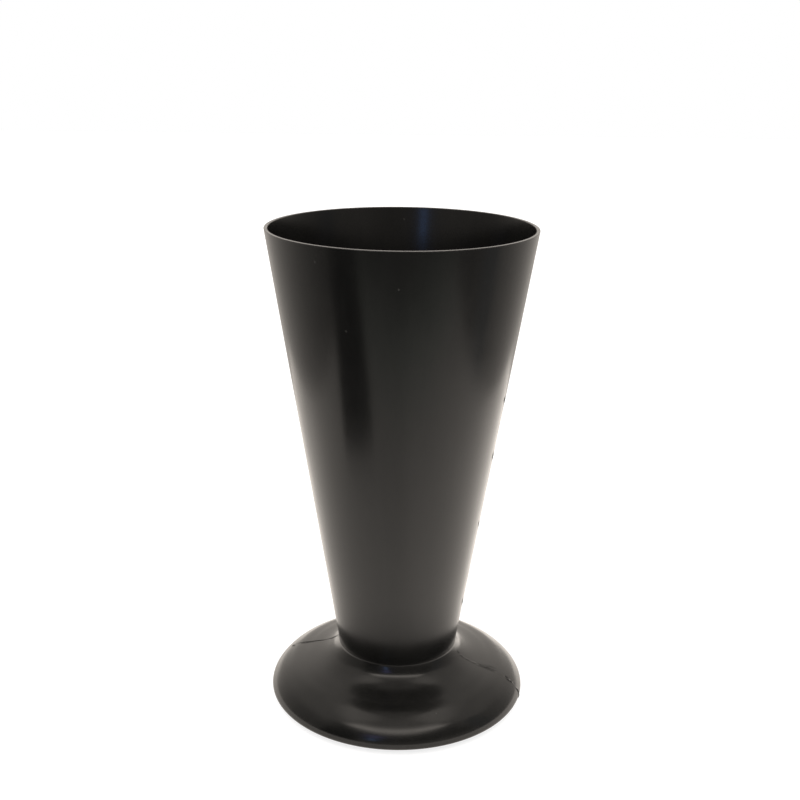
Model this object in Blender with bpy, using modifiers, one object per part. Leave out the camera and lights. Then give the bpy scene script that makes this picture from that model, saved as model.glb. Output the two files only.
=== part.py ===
"""Florist's display bucket: an open tapered cone, welded at its neck into a hollow spreading foot.

Metres, +Z up. The origin is the centre of the plane that the foot rests on.
The cone is open at both ends, so one inner space runs from the rim down to the foot's floor.
"""

import math

import bpy
import numpy as np

# Overall size
HEIGHT = 0.440
RIM_RADIUS = 0.117
FOOT_RADIUS = 0.118
WALL = 0.003
RIM_CHAMFER = 0.0004

# Neck: the cone's shoulder sits on the foot's neck, and its tapered spigot goes down into a collar
NECK_HEIGHT = 0.0510
NECK_RADIUS = 0.0545
JOINT_GAP = 0.0003
SPIGOT_LENGTH = 0.0160
COLLAR_LENGTH = 0.0120

# Foot: a hollow flare out of the neck, a shelf, a full shoulder, a rounded edge, a narrow resting
# ring and a raised underside
WIDEST_HEIGHT = 0.0080
EDGE_ROUND = 0.0040
RING_OUTER_RADIUS = 0.1070
RING_INNER_RADIUS = 0.1010
PUSH_UP = 0.0050
PUSH_UP_RUN = 0.0100
# Its outside from just under the neck to the widest circle: radius, height, and the angle in
# degrees by which the line dips there
FOOT_LINE = (
    (0.0554, 0.0487, 63),
    (0.0588, 0.0437, 49),
    (0.0650, 0.0391, 30),
    (0.0860, 0.0321, 17),
    (0.1000, 0.0275, 29),
    (0.1115, 0.0195, 46),
    (FOOT_RADIUS, WIDEST_HEIGHT, 90),
)

# How finely curves are drawn
AROUND = 64
LEG_STEPS = 3
CURVE_POINTS = 5
AXIS_MERGE = 0.00001
SHARP_ANGLE = math.radians(28)

BLACK = (0.010, 0.010, 0.009, 1.0)
ROUGHNESS = 0.28

TAPER = (RIM_RADIUS - NECK_RADIUS) / (HEIGHT - NECK_HEIGHT)
# The cone's wall, measured along a radius instead of square to its slope
FLAT_WALL = WALL * math.hypot(1, TAPER)


def cone_radius(height):
    """Outer radius of the straight cone at a height."""
    return NECK_RADIUS + TAPER * (height - NECK_HEIGHT)


def dipping(degrees):
    """The direction outwards and down by an angle."""
    return np.array((math.cos(math.radians(degrees)), -math.sin(math.radians(degrees))))


def leg(start, start_dip, end, end_dip):
    """A smooth curve from start to end that dips by a given angle at each, without its start."""
    start, end = np.array(start), np.array(end)
    reach = np.linalg.norm(end - start)
    t = np.linspace(0, 1, LEG_STEPS + 1)[1:, None]
    return (
        (2 * t**3 - 3 * t**2 + 1) * start
        + (t**3 - 2 * t**2 + t) * reach * dipping(start_dip)
        + (3 * t**2 - 2 * t**3) * end
        + (t**3 - t**2) * reach * dipping(end_dip)
    )


def bend(start, corner, end):
    """A quadratic curve from start to end, tangent to the lines that meet at the corner."""
    steps = np.linspace(0, 1, CURVE_POINTS)[:, None]
    return (1 - steps) ** 2 * start + 2 * steps * (1 - steps) * corner + steps**2 * end


def set_in(outline, distance):
    """The outline moved inwards by a distance, square to each of its lines."""
    lines = np.diff(outline, axis=0)
    lines /= np.linalg.norm(lines, axis=1)[:, None]
    inward = np.stack((lines[:, 1], -lines[:, 0]), axis=1)
    before = np.concatenate((inward[:1], inward))
    after = np.concatenate((inward, inward[-1:]))
    mitre = before + after
    mitre /= (mitre * before).sum(axis=1)[:, None]
    return outline + distance * mitre


def flare_and_shoulder():
    """The foot's outside, from its mouth at the neck down to the widest circle."""
    mouth = NECK_HEIGHT - JOINT_GAP
    start, start_dip = (cone_radius(mouth), mouth), 90 + math.degrees(math.atan(TAPER))
    points = [start]
    for radius, height, dip in FOOT_LINE:
        end = (radius, height)
        points.extend(leg(start, start_dip, end, dip))
        start, start_dip = end, dip
    return np.array(points)


def rounded_edge():
    """Round under the foot's edge from the widest circle, and straight down to the resting ring."""
    centre = np.array((FOOT_RADIUS - EDGE_ROUND, WIDEST_HEIGHT))
    ring = np.array((RING_OUTER_RADIUS, 0.0))
    across, down = ring - centre
    end = math.atan2(down, across) + math.acos(EDGE_ROUND / math.hypot(across, down))
    turn = np.linspace(0, end, CURVE_POINTS)
    arc = centre + EDGE_ROUND * np.stack((np.cos(turn), np.sin(turn)), axis=1)
    return np.concatenate((arc, [ring]))


def raised_underside():
    """From the resting ring's inner edge up to the raised centre, and flat in to the axis."""
    ring = np.array((RING_INNER_RADIUS, 0.0))
    end = np.array((RING_INNER_RADIUS - PUSH_UP_RUN, PUSH_UP))
    corner = np.array((RING_INNER_RADIUS - PUSH_UP_RUN / 3, PUSH_UP))
    return np.concatenate((bend(ring, corner, end), [(0.0, PUSH_UP)]))


def collar(root):
    """The foot's tapered socket, from its root inside the shell, down, and up to its mouth."""
    lower = NECK_HEIGHT - COLLAR_LENGTH
    mouth = NECK_HEIGHT - JOINT_GAP
    return np.array(
        (
            (cone_radius(root), root),
            (cone_radius(lower), lower),
            (cone_radius(lower) - FLAT_WALL, lower),
            (cone_radius(mouth) - FLAT_WALL, mouth),
        )
    )


def foot_profile():
    """From the inner floor's centre, out and up inside the shell to the neck, and down outside it."""
    outside = np.concatenate((flare_and_shoulder(), rounded_edge()[1:], raised_underside()))
    inside = set_in(outside, WALL)
    inside[-1][0] = 0.0
    # Near the neck the inner face ends where it meets the collar's outer side.
    first = next(i for i, (radius, height) in enumerate(inside) if radius > cone_radius(height))
    radius, height = inside[first]
    root = height + radius - cone_radius(height)
    return np.concatenate((inside[first:][::-1], collar(root), outside))


def cone_profile():
    """Round the cone's wall: rim, outer side, shoulder, spigot, bore and inner side."""
    spigot_end = NECK_HEIGHT - SPIGOT_LENGTH
    below_rim = HEIGHT - RIM_CHAMFER
    spigot_inset = FLAT_WALL + JOINT_GAP
    bore_inset = spigot_inset + FLAT_WALL
    shoulder_top = NECK_HEIGHT + WALL
    return np.array(
        (
            (RIM_RADIUS - RIM_CHAMFER, HEIGHT),
            (cone_radius(below_rim), below_rim),
            (NECK_RADIUS, NECK_HEIGHT),
            (NECK_RADIUS - spigot_inset, NECK_HEIGHT),
            (cone_radius(spigot_end) - spigot_inset, spigot_end),
            (cone_radius(spigot_end) - bore_inset, spigot_end),
            (NECK_RADIUS - bore_inset, NECK_HEIGHT),
            (cone_radius(shoulder_top) - FLAT_WALL, shoulder_top),
            (cone_radius(below_rim) - FLAT_WALL, below_rim),
            (RIM_RADIUS - FLAT_WALL + RIM_CHAMFER, HEIGHT),
        )
    )


def black_plastic(name):
    material = bpy.data.materials.new(name)
    material.use_nodes = True
    shader = material.node_tree.nodes["Principled BSDF"]
    shader.inputs["Base Color"].default_value = BLACK
    shader.inputs["Roughness"].default_value = ROUGHNESS
    shader.inputs["Metallic"].default_value = 0.0
    return material


def turned(name, profile, closed, collection):
    """A smooth object made by turning a profile of (radius, height) points about Z."""
    links = [(i, i + 1) for i in range(len(profile) - 1)]
    if closed:
        links.append((len(profile) - 1, 0))
    outline = bpy.data.meshes.new(name + "_profile")
    outline.from_pydata([(radius, 0.0, height) for radius, height in profile], links, [])
    piece = bpy.data.objects.new(name, outline)
    collection.objects.link(piece)
    screw = piece.modifiers.new("turn", "SCREW")
    screw.axis = "Z"
    screw.steps = AROUND
    screw.render_steps = AROUND
    screw.use_merge_vertices = True
    screw.merge_threshold = AXIS_MERGE
    bpy.context.view_layer.update()
    evaluated = piece.evaluated_get(bpy.context.evaluated_depsgraph_get())
    mesh = bpy.data.meshes.new_from_object(evaluated)
    mesh.name = name
    mesh.shade_smooth()
    mesh.set_sharp_from_angle(angle=SHARP_ANGLE)
    mesh.materials.append(black_plastic(name + "_plastic"))
    piece.modifiers.clear()
    piece.data = mesh
    bpy.data.meshes.remove(outline)
    return piece


def main():
    for leftover in list(bpy.data.objects):
        bpy.data.objects.remove(leftover)
    collection = bpy.data.collections.new("florist_bucket")
    bpy.context.scene.collection.children.link(collection)
    turned("bucket_cone", cone_profile(), True, collection)
    turned("hollow_foot", foot_profile(), False, collection)


main()
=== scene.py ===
"""Looks of the florist bucket: moulded black plastic with its parting line, and a small photo studio.

Metres, +Z up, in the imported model's frame. The cone and the foot are turned again here, finely
enough for the moulding marks to be real shape, and they take the places of the two CAD nodes.
"""

import math

import bpy
import numpy as np
from mathutils import Matrix, Vector


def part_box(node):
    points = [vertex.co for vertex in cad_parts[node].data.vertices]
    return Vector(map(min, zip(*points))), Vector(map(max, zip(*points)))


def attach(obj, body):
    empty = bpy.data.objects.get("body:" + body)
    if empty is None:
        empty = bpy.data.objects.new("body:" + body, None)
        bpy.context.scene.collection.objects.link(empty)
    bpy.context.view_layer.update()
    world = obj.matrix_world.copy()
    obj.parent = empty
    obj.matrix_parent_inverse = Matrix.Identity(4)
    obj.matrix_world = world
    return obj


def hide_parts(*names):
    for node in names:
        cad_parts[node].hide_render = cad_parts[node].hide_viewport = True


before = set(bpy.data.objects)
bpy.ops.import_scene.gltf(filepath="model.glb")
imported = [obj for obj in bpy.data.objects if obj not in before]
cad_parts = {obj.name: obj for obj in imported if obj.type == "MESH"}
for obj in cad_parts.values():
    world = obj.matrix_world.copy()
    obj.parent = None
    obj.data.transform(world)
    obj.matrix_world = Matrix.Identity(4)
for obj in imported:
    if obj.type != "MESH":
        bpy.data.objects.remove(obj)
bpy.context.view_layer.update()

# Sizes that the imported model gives, with the gap that its join keeps
CONE_LOW, CONE_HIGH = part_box("bucket_cone")
FOOT_LOW, FOOT_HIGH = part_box("hollow_foot")
HEIGHT = CONE_HIGH.z
RIM_RADIUS = CONE_HIGH.x
FOOT_RADIUS = FOOT_HIGH.x
JOINT_GAP = 0.0003
NECK_HEIGHT = FOOT_HIGH.z + JOINT_GAP
SPIGOT_END = CONE_LOW.z

# Sizes that repeat the design
WALL = 0.003
RIM_ROUND = 0.0004
NECK_RADIUS = 0.0545
WIDEST_HEIGHT = 0.0080
EDGE_ROUND = 0.0040
RING_OUTER_RADIUS = 0.1070
RING_INNER_RADIUS = 0.1010
PUSH_UP = 0.0050
PUSH_UP_RUN = 0.0100
# The foot's outside from neck to widest: radius, height and how many degrees the line dips there
FOOT_LINE = [
    (NECK_RADIUS, NECK_HEIGHT, 99),
    (0.0554, 0.0487, 63),
    (0.0588, 0.0437, 49),
    (0.0650, 0.0391, 30),
    (0.0860, 0.0321, 17),
    (0.1000, 0.0275, 29),
    (0.1115, 0.0195, 46),
    (FOOT_RADIUS, WIDEST_HEIGHT, 90),
]

TAPER = (RIM_RADIUS - NECK_RADIUS) / (HEIGHT - NECK_HEIGHT)
FLAT_WALL = WALL * math.hypot(1, TAPER)

# The parting line where the two mould halves met, in one plane through the axis, as angles from +X
SEAMS = (math.radians(-15), math.radians(165))
SEAM_WIDTH = 0.0005
SEAM_HEIGHT = 0.00012
# Flash left on the cone: share of the height, half length, how far it stands out
FLASH_RIGHT = (
    (0.67, 0.004, 0.0006),
    (0.55, 0.005, 0.0005),
    (0.40, 0.004, 0.0004),
    (0.22, 0.005, 0.0005),
)
FLASH_LEFT = ((0.61, 0.004, 0.0004), (0.34, 0.005, 0.0003))
# Cuts and nibs on the foot: radius of the middle, half length, height (negative for a cut), width, and
# offset to the back
FOOT_LINE_HEIGHT = 0.00004
MARKS_RIGHT = (
    (0.0590, 0.0022, -0.00070, 0.0006, 0.0),
    (0.0630, 0.0026, 0.00050, 0.0007, -0.0003),
    (0.0685, 0.0024, 0.00050, 0.0007, -0.0003),
    (0.0745, 0.0028, 0.00040, 0.0007, -0.0006),
    (0.0872, 0.0110, -0.00110, 0.0006, 0.0),
    (0.0865, 0.0110, 0.00045, 0.0006, -0.0015),
    (0.0885, 0.0080, -0.00022, 0.0004, 0.0019),
    (0.0915, 0.0070, -0.00018, 0.0004, 0.0032),
    (0.1056, 0.0018, -0.00080, 0.0007, 0.0008),
    (0.1074, 0.0018, 0.00080, 0.0008, -0.0008),
    (0.1100, 0.0018, 0.00070, 0.0007, 0.0004),
    (0.1172, 0.0022, 0.00075, 0.0009, 0.0),
)
MARKS_LEFT = (
    (0.0620, 0.0080, -0.00110, 0.0007, 0.0),
    (0.0850, 0.0230, -0.00070, 0.0006, 0.0),
    (0.0900, 0.0110, 0.00030, 0.0006, -0.0015),
    (0.1045, 0.0022, 0.00080, 0.0008, 0.0),
)
# The pinched weld across the middle of the underside
PINCH_HEIGHT = 0.0007
PINCH_WIDTH = 0.0011
PINCH_HALF_LENGTH = 0.038

# How fine the turned meshes are: steps around, spacing of rows, and rows on the foot's edge
AROUND = 288
CONE_ROWS = 0.002
CONE_INSIDE_ROWS = 0.008
FOOT_ROWS = 0.0010
MIDDLE_ROWS = 0.0040
EDGE_ROWS = 9
MARKED_EDGE_ROWS = 7
# How far from the parting line a mark can reach
MARKS_REACH = 0.005
# The cone's inner wall starts this far above the neck
INNER_START = 0.006


def cone_radius(height):
    return NECK_RADIUS + TAPER * (height - NECK_HEIGHT)


def hermite(start, direction_a, end, direction_b, count):
    """A smooth curve from start to end with given directions at its ends."""
    start, end = np.array(start, float), np.array(end, float)
    reach = np.linalg.norm(end - start)
    direction_a = np.array(direction_a, float) / np.linalg.norm(direction_a) * reach
    direction_b = np.array(direction_b, float) / np.linalg.norm(direction_b) * reach
    t = np.linspace(0, 1, count)[:, None]
    return (
        (2 * t**3 - 3 * t**2 + 1) * start
        + (t**3 - 2 * t**2 + t) * direction_a
        + (-2 * t**3 + 3 * t**2) * end
        + (t**3 - t**2) * direction_b
    )


def respaced(points, spacing):
    """The same line with evenly spaced points."""
    points = np.array(points, float)
    along = np.concatenate(([0], np.cumsum(np.linalg.norm(np.diff(points, axis=0), axis=1))))
    count = max(2, math.ceil(along[-1] / spacing) + 1)
    places = np.linspace(0, along[-1], count)
    return np.stack([np.interp(places, along, points[:, i]) for i in (0, 1)], axis=1)


def dip(degrees):
    """The direction, as (across, up), of a line that goes outwards and down at some degrees."""
    return (math.cos(math.radians(degrees)), -math.sin(math.radians(degrees)))


def foot_outside():
    """The foot's outside as fine points, from the neck to the widest circle."""
    legs = []
    for (*start, dip_a), (*end, dip_b) in zip(FOOT_LINE[:-1], FOOT_LINE[1:]):
        legs.append(hermite(start, dip(dip_a), end, dip(dip_b), 24)[:-1])
    return np.concatenate(legs + [[(FOOT_RADIUS, WIDEST_HEIGHT)]])


def foot_profile():
    """The foot's outer skin from the neck to the middle of the underside, and each row's marks."""
    outside = respaced(foot_outside(), FOOT_ROWS)
    centre = np.array((FOOT_RADIUS - EDGE_ROUND, WIDEST_HEIGHT))
    across, down = np.array((RING_OUTER_RADIUS, 0.0)) - centre
    last_turn = math.atan2(down, across) + math.acos(EDGE_ROUND / math.hypot(across, down))
    turn = np.linspace(0, last_turn, EDGE_ROWS + 1)[1:]
    edge = centre + EDGE_ROUND * np.stack((np.cos(turn), np.sin(turn)), axis=1)
    edge = np.concatenate((edge, respaced([edge[-1], (RING_OUTER_RADIUS, 0.0)], 0.003)[1:]))
    under_edge = RING_INNER_RADIUS - PUSH_UP_RUN
    under = hermite((RING_INNER_RADIUS, 0), (-0.3, 1), (under_edge, PUSH_UP), (-1, 0), 10)
    middle = respaced([(under_edge, PUSH_UP), (MIDDLE_ROWS, PUSH_UP)], MIDDLE_ROWS)[1:]
    middle = np.concatenate((middle, [(radius, PUSH_UP) for radius in (0.0024, 0.0014, 0.0007, 0.0)]))
    marks = [foot_marks] * (len(outside) + MARKED_EDGE_ROWS)
    marks += [None] * (len(edge) - MARKED_EDGE_ROWS + len(under))
    marks += [pinch_marks] * len(middle)
    return np.concatenate((outside, edge, under, middle)), marks


def set_in(outline, distance):
    """The outline moved square to itself, to its right as it is drawn, with mitred corners."""
    lines = np.diff(outline, axis=0)
    lines /= np.linalg.norm(lines, axis=1)[:, None]
    inward = np.stack((lines[:, 1], -lines[:, 0]), axis=1)
    before = np.concatenate((inward[:1], inward))
    after = np.concatenate((inward, inward[-1:]))
    mitre = before + after
    mitre /= (mitre * before).sum(axis=1)[:, None]
    return outline + distance * mitre


def swell(value, middle, half_length):
    """1 at the middle of a stretch, falling smoothly to 0 at its ends."""
    return max(0.0, 1 - ((value - middle) / half_length) ** 2) ** 2


# Each kind of marks takes the distance across the parting line, whether the place is on the line's
# right half, and the radius and height, and returns how far the surface stands proud there.


def cone_marks(across, right_half, radius, height):
    """The cone's trimmed parting line, and flash left on it."""
    line = math.exp(-((across / SEAM_WIDTH) ** 2))
    # Trimmed by hand, so its height varies along the wall; it ends at the cut rim
    fade = min(1.0, (HEIGHT - height) / 0.012)
    proud = SEAM_HEIGHT * (0.55 + 0.45 * math.sin(height * 190) * math.sin(height * 77 + 1)) * fade
    nibs = FLASH_RIGHT if right_half else FLASH_LEFT
    for place, length, size in nibs:
        proud += size * swell(height, place * HEIGHT, length)
    return proud * line


def foot_marks(across, right_half, radius, height):
    """The foot's faint line, with knife cuts where flash was cut off."""
    proud = FOOT_LINE_HEIGHT * math.exp(-((across / SEAM_WIDTH) ** 2))
    for place, half_length, size, width, offset in MARKS_RIGHT if right_half else MARKS_LEFT:
        proud += size * swell(radius, place, half_length) * math.exp(-(((across - offset) / width) ** 2))
    return proud


def pinch_marks(across, right_half, radius, height):
    """The pinched weld across the middle of the underside."""
    ends = max(0.0, 1 - (radius / PINCH_HALF_LENGTH) ** 6)
    return PINCH_HEIGHT * ends * math.exp(-((across / PINCH_WIDTH) ** 2))


def around_angles():
    """Even steps about the axis, with finer ones beside each half of the parting line."""
    angles = np.linspace(0, 2 * math.pi, AROUND, endpoint=False)
    near = np.radians(np.concatenate((np.arange(0.0, 0.9, 0.1), np.arange(0.9, 2.7, 0.2))))
    kept = [
        a
        for a in angles
        if all(abs(math.remainder(a - s, 2 * math.pi)) > math.radians(2.8) for s in SEAMS)
    ]
    for seam in SEAMS:
        kept.extend(seam + side * a for a in near for side in (-1, 1) if a or side > 0)
    return np.array(sorted(a % (2 * math.pi) for a in kept))


def outward(profile):
    """The direction square to the outline at each of its points, out of the material."""
    return (profile - set_in(profile, 0.001)) / 0.001


def turned(name, profile, closed, marks):
    """A mesh made by turning (radius, height) points about Z.

    marks is a list with, for each point of the profile, None or one of the kinds of marks.
    """
    angles = around_angles()
    normals = outward(profile)
    rows = []
    vertices = []
    for (radius, height), (out_r, out_z), mark in zip(profile, normals, marks):
        if radius < 1e-6:
            rows.append([len(vertices)])
            proud = mark(0.0, True, 0.0, height) if mark else 0.0
            vertices.append((0.0, 0.0, height + out_z * proud))
            continue
        rows.append(list(range(len(vertices), len(vertices) + len(angles))))
        for a in angles:
            proud = 0.0
            across = radius * math.sin(a - SEAMS[0])
            if mark and abs(across) < MARKS_REACH:
                proud = mark(across, math.cos(a - SEAMS[0]) > 0, radius, height)
            r = radius + out_r * proud
            vertices.append((r * math.cos(a), r * math.sin(a), height + out_z * proud))
    count = len(angles)
    faces = []
    pairs = list(zip(rows[:-1], rows[1:]))
    if closed:
        pairs.append((rows[-1], rows[0]))
    for upper, lower in pairs:
        # A row with one point is the tip on the axis
        for i in range(count):
            j = (i + 1) % count
            if len(upper) == 1:
                faces.append((upper[0], lower[i], lower[j]))
            elif len(lower) == 1:
                faces.append((upper[i], lower[0], upper[j]))
            else:
                faces.append((upper[i], lower[i], lower[j], upper[j]))
    mesh = bpy.data.meshes.new(name)
    mesh.from_pydata(vertices, [], faces)
    mesh.shade_smooth()
    mesh.set_sharp_from_angle(angle=math.radians(35))
    piece = bpy.data.objects.new(name, mesh)
    bpy.context.scene.collection.objects.link(piece)
    return piece


def cone_profile():
    """The cone's closed outline from the rim down the outside and up the inside, and its marks."""
    outer = respaced(
        [(cone_radius(HEIGHT - RIM_ROUND), HEIGHT - RIM_ROUND), (NECK_RADIUS, NECK_HEIGHT)], CONE_ROWS
    )
    inner_low = NECK_HEIGHT + INNER_START
    inner = respaced(
        [
            (cone_radius(inner_low) - FLAT_WALL, inner_low),
            (cone_radius(HEIGHT - RIM_ROUND) - FLAT_WALL, HEIGHT - RIM_ROUND),
        ],
        CONE_INSIDE_ROWS,
    )
    bore = cone_radius(SPIGOT_END) - 2 * FLAT_WALL
    profile = np.concatenate(
        (
            [(RIM_RADIUS - RIM_ROUND, HEIGHT)],
            outer,
            [
                (NECK_RADIUS - FLAT_WALL - JOINT_GAP, NECK_HEIGHT),
                (cone_radius(SPIGOT_END) - FLAT_WALL - JOINT_GAP, SPIGOT_END),
                (bore, SPIGOT_END),
            ],
            inner,
            [(RIM_RADIUS - FLAT_WALL + RIM_ROUND, HEIGHT)],
        )
    )
    marks = [None] + [cone_marks] * len(outer) + [None] * (len(profile) - len(outer) - 1)
    return profile, marks


class Nodes:
    """Short ways to add and join shader nodes."""

    def __init__(self, tree):
        self.tree = tree

    def add(self, kind, **inputs):
        node = self.tree.nodes.new(kind)
        for name, value in inputs.items():
            self.put(value, node.inputs[name.replace("_", " ")])
        return node

    def put(self, value, socket):
        if isinstance(value, bpy.types.NodeSocket):
            self.tree.links.new(value, socket)
        else:
            socket.default_value = value

    def math(self, operation, a, b=0.0):
        node = self.tree.nodes.new("ShaderNodeMath")
        node.operation = operation
        self.put(a, node.inputs[0])
        self.put(b, node.inputs[1])
        return node.outputs[0]

    def vector(self, operation, a, b=(0, 0, 0)):
        node = self.tree.nodes.new("ShaderNodeVectorMath")
        node.operation = operation
        self.put(a, node.inputs[0])
        self.put(b, node.inputs[1])
        return node.outputs

    def length(self, a):
        return self.vector("LENGTH", a)["Value"]

    def apart(self, a, b):
        return self.vector("DISTANCE", a, b)["Value"]

    def stretched(self, a, factors):
        return self.vector("MULTIPLY", a, factors)["Vector"]

    def mix(self, share, a, b):
        node = self.tree.nodes.new("ShaderNodeMix")
        node.data_type = "RGBA"
        self.put(share, node.inputs["Factor"])
        self.put(a, [s for s in node.inputs if s.name == "A" and s.type == "RGBA"][0])
        self.put(b, [s for s in node.inputs if s.name == "B" and s.type == "RGBA"][0])
        return [s for s in node.outputs if s.type == "RGBA"][0]

    def noise(self, place, scale, detail=2.0, low=0.0, high=1.0):
        """Smooth noise; low and high are what its usual range (0.3 to 0.7) is spread to."""
        node = self.add("ShaderNodeTexNoise", Vector=place, Scale=scale, Detail=detail)
        return self.ramp(node.outputs["Fac"], 0.3, 0.7, low, high, smooth=False)

    def ramp(self, value, low, high, start, end, smooth=True):
        """Goes from start to end while the value goes from low to high."""
        node = self.tree.nodes.new("ShaderNodeMapRange")
        node.interpolation_type = "SMOOTHSTEP" if smooth else "LINEAR"
        names = ("Value", "From Min", "From Max", "To Min", "To Max")
        for name, number in zip(names, (value, low, high, start, end)):
            self.put(number, node.inputs[name])
        return node.outputs["Result"]


def specks(n, place, spots):
    """1 inside any of some small round spots, given as place and radius."""
    total = None
    for middle, radius in spots:
        spot = n.ramp(n.apart(place, middle), radius, radius * 0.4, 0, 1)
        total = spot if total is None else n.math("MAXIMUM", total, spot)
    return total


def plastic(name, worn, spots):
    """Satin black polyethylene. worn(n, place, z) returns how worn the surface is, 0 to 1."""
    material = bpy.data.materials.new(name)
    material.use_nodes = True
    shader = material.node_tree.nodes["Principled BSDF"]
    n = Nodes(material.node_tree)
    place = n.add("ShaderNodeTexCoord").outputs["Object"]
    z = n.add("ShaderNodeSeparateXYZ", Vector=place).outputs[2]
    normal = n.add("ShaderNodeNewGeometry").outputs["Normal"]
    facing_up = n.add("ShaderNodeSeparateXYZ", Vector=normal).outputs[2]

    # Black pigment that is a little uneven, with flow lines along the mould
    cloud = n.noise(place, 28, 3)
    flow = n.noise(n.stretched(place, (1, 1, 0.06)), 210, 2)
    shade = n.math("ADD", n.math("MULTIPLY", cloud, 0.5), n.math("MULTIPLY", flow, 0.5))
    colour = n.mix(shade, (0.0040, 0.0040, 0.0038, 1), (0.0064, 0.0062, 0.0057, 1))

    # Fine dust, more of it where the surface faces up, and a few larger specks
    grains = n.add("ShaderNodeTexVoronoi", Vector=place, Scale=430.0)
    grain = n.ramp(grains.outputs["Distance"], 0.16, 0.05, 0, 1)
    chance = n.add("ShaderNodeSeparateXYZ", Vector=grains.outputs["Color"]).outputs[0]
    rare = n.ramp(chance, 0.94, 0.98, 0, 1)
    film = n.math("MULTIPLY", n.ramp(facing_up, 0.2, 0.95, 0, 1), n.noise(place, 60, 4))
    grain = n.math("MULTIPLY", grain, n.math("MULTIPLY", rare, 0.012))
    dust = n.math("ADD", grain, n.math("MULTIPLY", film, 0.007))
    dust = n.math("MAXIMUM", dust, n.math("MULTIPLY", specks(n, place, spots), 0.07))
    colour = n.mix(dust, colour, (0.33, 0.32, 0.29, 1))

    # Rubbed edges: greyer and less glossy, with fine scratches
    rubbed = n.math("MULTIPLY", worn(n, place, z), n.noise(place, 260, 4))
    colour = n.mix(n.math("MINIMUM", rubbed, 1.0), colour, (0.022, 0.021, 0.020, 1))
    scratch = n.noise(n.stretched(place, (1, 1.4, 7)), 90, 3)
    scratch = n.ramp(scratch, 0.78, 0.86, 0, 1)
    n.put(colour, shader.inputs["Base Color"])

    rough = n.noise(place, 45, 3, 0.186, 0.222)
    rough = n.math("ADD", rough, n.math("MULTIPLY", n.math("ADD", rubbed, dust), 0.10))
    rough = n.math("ADD", rough, n.math("MULTIPLY", scratch, 0.025))
    n.put(rough, shader.inputs["Roughness"])
    shader.inputs["IOR"].default_value = 1.52

    # Relief in metres: slow waves, draw lines along the wall, orange peel
    waves = n.noise(n.stretched(place, (1, 1, 0.5)), 30, 1, 0, 9e-6)
    lines = n.noise(n.stretched(place, (1, 1, 0.02)), 330, 2, 0, 2.5e-6)
    peel = n.noise(place, 320, 1, 0, 0.8e-6)
    fine = n.math("ADD", peel, n.math("MULTIPLY", scratch, -1e-6))
    relief = n.math("ADD", n.math("ADD", waves, lines), fine)
    bump = n.add("ShaderNodeBump", Strength=1.0, Distance=1.0, Height=relief)
    n.put(bump.outputs["Normal"], shader.inputs["Normal"])
    return material


def rim_wear(n, place, z):
    """The rim's upper edge, and the end of the spigot."""
    rim = n.ramp(z, HEIGHT - 0.0011, HEIGHT - 0.0002, 0, 1)
    spigot = n.ramp(z, SPIGOT_END + 0.003, SPIGOT_END, 0, 0.6)
    return n.math("ADD", rim, spigot)


def foot_wear(n, place, z):
    """The widest edge, and the ring that the bucket rests and slides on."""
    radius = n.length(n.stretched(place, (1, 1, 0)))
    edge = n.ramp(radius, FOOT_RADIUS - 0.0010, FOOT_RADIUS, 0, 0.4)
    ring = n.ramp(z, 0.0012, 0.0001, 0, 1)
    return n.math("MAXIMUM", edge, ring)


def on_cone(degrees, height, inside=False):
    """A point on the cone's wall, with the angle from the front towards +X."""
    radius = cone_radius(height) - (FLAT_WALL if inside else 0)
    return (radius * math.sin(math.radians(degrees)), -radius * math.cos(math.radians(degrees)), height)


# Light specks of dirt or dust, as place and radius
CONE_SPECKS = (
    (on_cone(-36, 0.4265), 0.0011),
    (on_cone(-1, 0.4095), 0.0012),
    (on_cone(-24, 0.3725), 0.0012),
    (on_cone(50, 0.4175), 0.0011),
    (on_cone(179, 0.4290, inside=True), 0.0012),
)
FOOT_SPECKS = (((-0.060, -0.070, 0.0325), 0.0010), ((0.035, -0.094, 0.0277), 0.0009))

# The colour of the studio's light
WARM = (1.0, 0.925, 0.845, 1)


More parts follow.
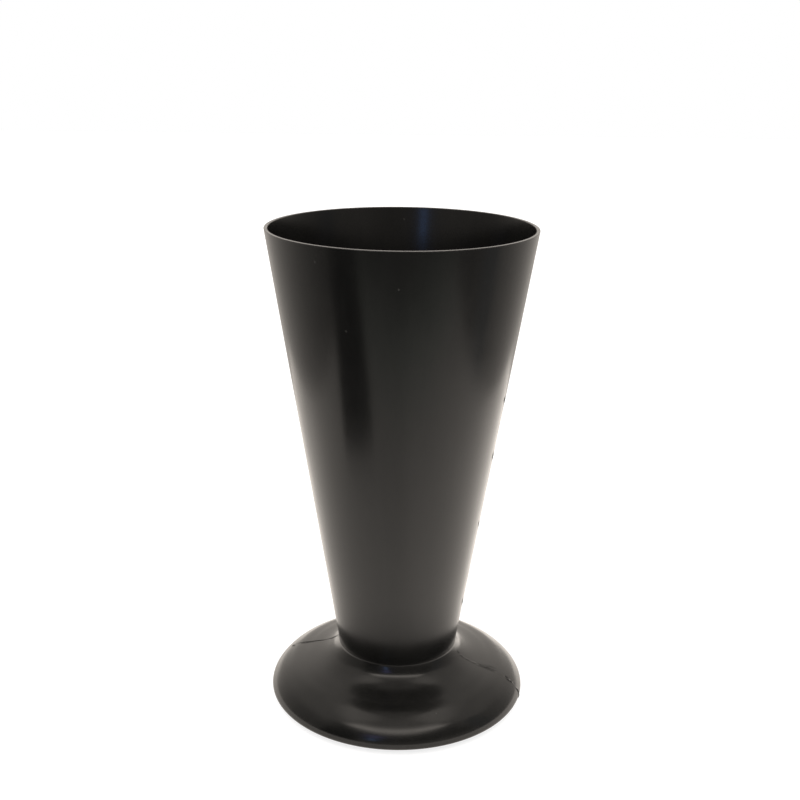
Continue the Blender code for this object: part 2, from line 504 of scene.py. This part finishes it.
def make_world():
    """A photo tent round the back and sides, a dark room in front, and a ceiling strip over its door."""
    world = bpy.data.worlds.new("studio")
    bpy.context.scene.world = world
    world.use_nodes = True
    tree = world.node_tree
    tree.nodes.clear()
    n = Nodes(tree)
    split = n.add("ShaderNodeSeparateXYZ", Vector=n.add("ShaderNodeTexCoord").outputs["Generated"])
    x, y, up = split.outputs
    flat = n.math("SQRT", n.math("ADD", n.math("MULTIPLY", x, x), n.math("MULTIPLY", y, y)))
    front = n.math("DIVIDE", n.math("MULTIPLY", y, -1.0), n.math("ADD", flat, 0.001))

    # Under the horizon, then the tent's walls with a ring of light at its top
    below = n.ramp(front, 0.5, -0.9, 0.10, 0.80, smooth=False)
    behind = n.ramp(front, 0.20, -0.95, 0, 1, smooth=False)
    wall = n.ramp(n.math("MULTIPLY", behind, behind), 0, 1, 0.28, 1.08, smooth=False)
    wall = n.ramp(up, 0.50, 0.72, wall, 0.57)
    ring = n.math("MULTIPLY", n.ramp(up, 0.85, 0.92, 0, 1), n.ramp(up, 0.96, 1.00, 0.55, 0.35))
    wall = n.math("ADD", wall, ring)

    # The room in front, and the strip
    low = n.ramp(front, 0.80, 0.98, 0.30, 0.21)
    room = n.math("ADD", n.ramp(up, 0.25, 0.45, low, 0.10), n.ramp(up, 0.75, 0.95, 0, 0.42))
    above = n.ramp(front, 0.20, 0.50, wall, room)
    strip = n.math("MULTIPLY", n.ramp(up, 0.770, 0.800, 0, 1), n.ramp(up, 0.82, 0.96, 1, 0))
    strip = n.math("MULTIPLY", strip, n.ramp(front, 0.38, 0.56, 0, 2.6))
    above = n.math("ADD", above, strip)
    radiance = n.ramp(up, -0.01, 0.01, below, above)

    # The camera itself sees a white backdrop
    tent = n.add("ShaderNodeBackground", Color=WARM, Strength=radiance)
    backdrop = n.add("ShaderNodeBackground", Color=(1, 1, 1, 1), Strength=1.0)
    mix = tree.nodes.new("ShaderNodeMixShader")
    tree.links.new(n.add("ShaderNodeLightPath").outputs["Is Camera Ray"], mix.inputs[0])
    tree.links.new(tent.outputs[0], mix.inputs[1])
    tree.links.new(backdrop.outputs[0], mix.inputs[2])
    n.add("ShaderNodeOutputWorld", Surface=mix.outputs[0])


def plane(name, corners):
    """A flat four-cornered piece of the studio."""
    mesh = bpy.data.meshes.new(name)
    mesh.from_pydata(corners, [], [(0, 1, 2, 3)])
    piece = bpy.data.objects.new(name, mesh)
    bpy.context.scene.collection.objects.link(piece)
    return piece


def only_reflected(piece):
    """Leaves a piece of the studio visible in gloss only."""
    piece.visible_camera = False
    piece.visible_diffuse = False
    piece.visible_shadow = False
    piece.visible_transmission = False


def level(x0, y0, x1, y1, z):
    return [(x0, y0, z), (x1, y0, z), (x1, y1, z), (x0, y1, z)]


def make_floor():
    """The pale floor. The gloss sees make_table's plane in its place."""
    floor = plane("floor", level(-6, -6, 6, 6, -0.0002))
    floor.visible_glossy = False
    material = bpy.data.materials.new("floor_paint")
    material.use_nodes = True
    shader = material.node_tree.nodes["Principled BSDF"]
    shader.inputs["Base Color"].default_value = (0.32, 0.32, 0.32, 1)
    shader.inputs["Emission Color"].default_value = (1, 1, 1, 1)
    shader.inputs["Emission Strength"].default_value = 0.80
    shader.inputs["Roughness"].default_value = 0.9
    shader.inputs["Specular IOR Level"].default_value = 0.0
    floor.data.materials.append(material)


def make_table():
    """What the gloss sees of the table, a plane that glows with painted light: bright near the bucket,
    darker towards its front edge.
    """
    table = plane("table_glow", level(-0.645, -0.90, 0.645, 0.80, -0.0004))
    only_reflected(table)
    material = bpy.data.materials.new("table_glow")
    material.use_nodes = True
    tree = material.node_tree
    tree.nodes.clear()
    n = Nodes(tree)
    place = n.add("ShaderNodeTexCoord").outputs["Object"]
    x, y, _ = n.add("ShaderNodeSeparateXYZ", Vector=place).outputs
    # Painted light: the table's brightness, falling off towards its front edge and to the sides
    glow = n.ramp(y, -0.86, 0.20, 0.03, 1.72, smooth=False)
    sideways = n.math("ADD", n.ramp(x, -0.6, 0.0, 0.85, 1.0), n.ramp(x, -0.02, 0.12, 0, 0.2))
    sideways = n.math("MULTIPLY", sideways, n.ramp(x, 0.35, 0.60, 1.0, 0.86))
    # Painted shadow: dimmer under the bucket, where it shades the table; also dimmer in a spot at the
    # front edge
    near = n.ramp(n.length(place), 0.10, 0.20, 0.6, 1.0)
    spot = n.ramp(n.apart(place, (-0.02, -0.86, 0)), 0.05, 0.16, 0.5, 1.0)
    glow = n.math("MULTIPLY", n.math("MULTIPLY", glow, sideways), n.math("MULTIPLY", near, spot))
    tint = n.mix(n.ramp(y, -0.75, -0.40, 0, 1), (0.96, 1.0, 0.88, 1), WARM)
    light = n.add("ShaderNodeEmission", Color=tint, Strength=glow)
    n.add("ShaderNodeOutputMaterial", Surface=light.outputs[0])
    table.data.materials.append(material)


def glowing_card(name, corners, colour, strength):
    """A card of even light that only reflections show; a weak one reads as something dark."""
    card = plane(name, corners)
    only_reflected(card)
    material = bpy.data.materials.new(name)
    material.use_nodes = True
    tree = material.node_tree
    tree.nodes.clear()
    n = Nodes(tree)
    glow = n.add("ShaderNodeEmission", Color=(*colour, 1), Strength=strength)
    n.add("ShaderNodeOutputMaterial", Surface=glow.outputs[0])
    card.data.materials.append(material)


def facing(azimuth, elevation, distance, width, height):
    """Corners of a card that faces the bucket from an azimuth (from -Y towards +X) and elevation."""
    a, e = math.radians(azimuth), math.radians(elevation)
    out = Vector((math.sin(a) * math.cos(e), -math.cos(a) * math.cos(e), math.sin(e)))
    side = Vector((math.cos(a), math.sin(a), 0))
    rise = out.cross(side)
    middle = out * distance
    return [
        tuple(middle + side * sx * width / 2 + rise * sy * height / 2)
        for sx, sy in ((-1, -1), (1, -1), (1, 1), (-1, 1))
    ]


def make_lights():
    """One soft light from above, and what stands round the bucket."""
    sun = bpy.data.lights.new("soft_light", "SUN")
    sun.energy = 3.1
    sun.angle = math.radians(120)
    lamp = bpy.data.objects.new("soft_light", sun)
    lamp.visible_glossy = False
    bpy.context.scene.collection.objects.link(lamp)
    stand = [(-0.409, -0.222, 0), (-0.213, -0.413, 0), (-0.297, -0.358, 0.4), (-0.369, -0.283, 0.4)]
    glowing_card("dark_stand", stand, (1, 1, 1), 0.01)
    glowing_card("dark_post", facing(77, 0, 0.78, 0.20, 1.4), (1, 1, 1), 0.22)
    glowing_card("low_window", facing(-20.5, 25, 1.5, 0.14, 0.34), (0.32, 0.52, 1.0), 1.7)
    glowing_card("blue_window", facing(-20, 38, 1.5, 0.30, 0.22), (0.45, 0.45, 1.0), 1.0)


CAMERA_DISTANCE = 0.9993
CAMERA_HEIGHT = 0.6010
CAMERA_PITCH = math.radians(17.51)
CAMERA_ROLL = math.radians(0.66)
SENSOR_WIDTH = 36
FOCAL_LENGTH = 53.13


def make_camera():
    data = bpy.data.cameras.new("camera")
    data.sensor_width = SENSOR_WIDTH
    data.lens = FOCAL_LENGTH
    camera = bpy.data.objects.new("camera", data)
    forward = Vector((0, math.cos(CAMERA_PITCH), -math.sin(CAMERA_PITCH)))
    level_right = Vector((1, 0, 0))
    level_up = level_right.cross(forward)
    right = level_right * math.cos(CAMERA_ROLL) + level_up * math.sin(CAMERA_ROLL)
    up = -level_right * math.sin(CAMERA_ROLL) + level_up * math.cos(CAMERA_ROLL)
    matrix = Matrix((right, up, -forward)).transposed().to_4x4()
    matrix.translation = (0, -CAMERA_DISTANCE, CAMERA_HEIGHT)
    camera.matrix_world = matrix
    bpy.context.scene.collection.objects.link(camera)
    bpy.context.scene.camera = camera


def main():
    bpy.context.scene.view_settings.view_transform = "Standard"
    profile, marks = cone_profile()
    cone = turned("cone_wall", profile, closed=True, marks=marks)
    cone.data.materials.append(plastic("cone_plastic", rim_wear, CONE_SPECKS))
    outside, marks = foot_profile()
    inside = set_in(outside, WALL)
    inside[-1][0] = 0
    profile = np.concatenate((inside[::-1], outside))
    foot = turned("foot_shell", profile, closed=False, marks=[None] * len(inside) + marks)
    foot.data.materials.append(plastic("foot_plastic", foot_wear, FOOT_SPECKS))
    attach(cone, "root")
    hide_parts("bucket_cone")
    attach(foot, "root")
    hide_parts("hollow_foot")
    make_world()
    make_floor()
    make_table()
    make_lights()
    make_camera()


main()
